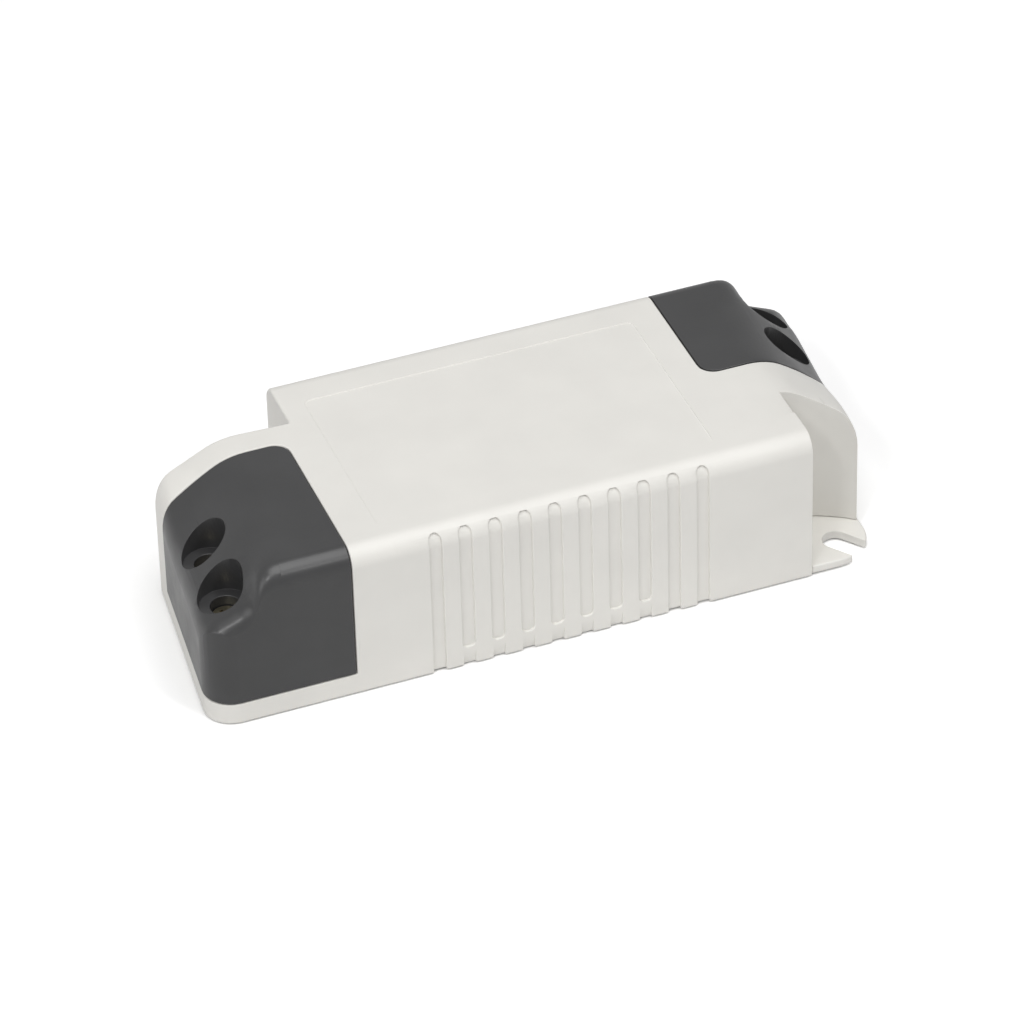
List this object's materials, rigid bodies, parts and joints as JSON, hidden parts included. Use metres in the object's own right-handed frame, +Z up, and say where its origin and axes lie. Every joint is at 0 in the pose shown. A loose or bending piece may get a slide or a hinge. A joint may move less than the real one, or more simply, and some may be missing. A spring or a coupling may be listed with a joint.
{
  "type": "power converter",
  "caption": "Long moulded power converter with grooved sides, dark end covers set at opposite corners, deep screw wells and thin slotted mounting ears.",
  "frame": {"origin": "middle of the underside", "axes": "+X along the case toward the output cover, +Y across it away from the viewer of the picture, +Z up from the mounting face"},
  "size_m": [0.109, 0.045, 0.0258],
  "materials": {
    "case_plastic": "fine satin moulded plastic, off-white",
    "cover_plastic": "satin moulded plastic, dark grey",
    "plated_steel": "plated steel screw, yellowish",
    "insulating_film": "thin amber film",
    "circuit_laminate": "glass laminate with green lacquer",
    "terminal_plastic": "green moulded plastic",
    "fuse_plastic": "dark brown moulded plastic",
    "coated_ceramic": "ceramic disc dipped in blue lacquer",
    "ferrite": "sintered ferrite, dark grey",
    "copper_wire": "lacquered copper wire",
    "film_capacitor": "yellow box filled with resin",
    "chip_plastic": "black moulded resin",
    "can_sleeve": "shrunk plastic sleeve over an aluminium can",
    "bobbin_plastic": "black moulded plastic",
    "winding_tape": "yellow polyester tape",
    "sink_aluminium": "plain aluminium"
  },
  "bodies": {
    "root": {"housing": "case_plastic", "base_plate": "case_plastic", "input_cover": "cover_plastic", "output_cover": "cover_plastic", "cover_screws": "plated_steel", "insulation_sheet": "insulating_film", "circuit_board": "circuit_laminate", "board_screws": "plated_steel", "input_terminal_block": "terminal_plastic", "input_terminal_screws": "plated_steel", "output_terminal_block": "terminal_plastic", "output_terminal_screws": "plated_steel", "fuse": "fuse_plastic", "varistor": "coated_ceramic", "choke_core": "ferrite", "choke_windings": "copper_wire", "mains_capacitor": "film_capacitor", "bridge_rectifier": "chip_plastic", "reservoir_capacitor": "can_sleeve", "suppression_capacitor": "coated_ceramic", "transformer_core": "ferrite", "transformer_bobbin": "bobbin_plastic", "transformer_winding": "winding_tape", "switching_transistor": "chip_plastic", "transistor_heatsink": "sink_aluminium", "transistor_screw": "plated_steel", "controller_chip": "chip_plastic", "optocoupler": "chip_plastic", "output_diode": "chip_plastic", "output_capacitors": "can_sleeve", "output_inductor": "ferrite"}
  },
  "joints": []
}
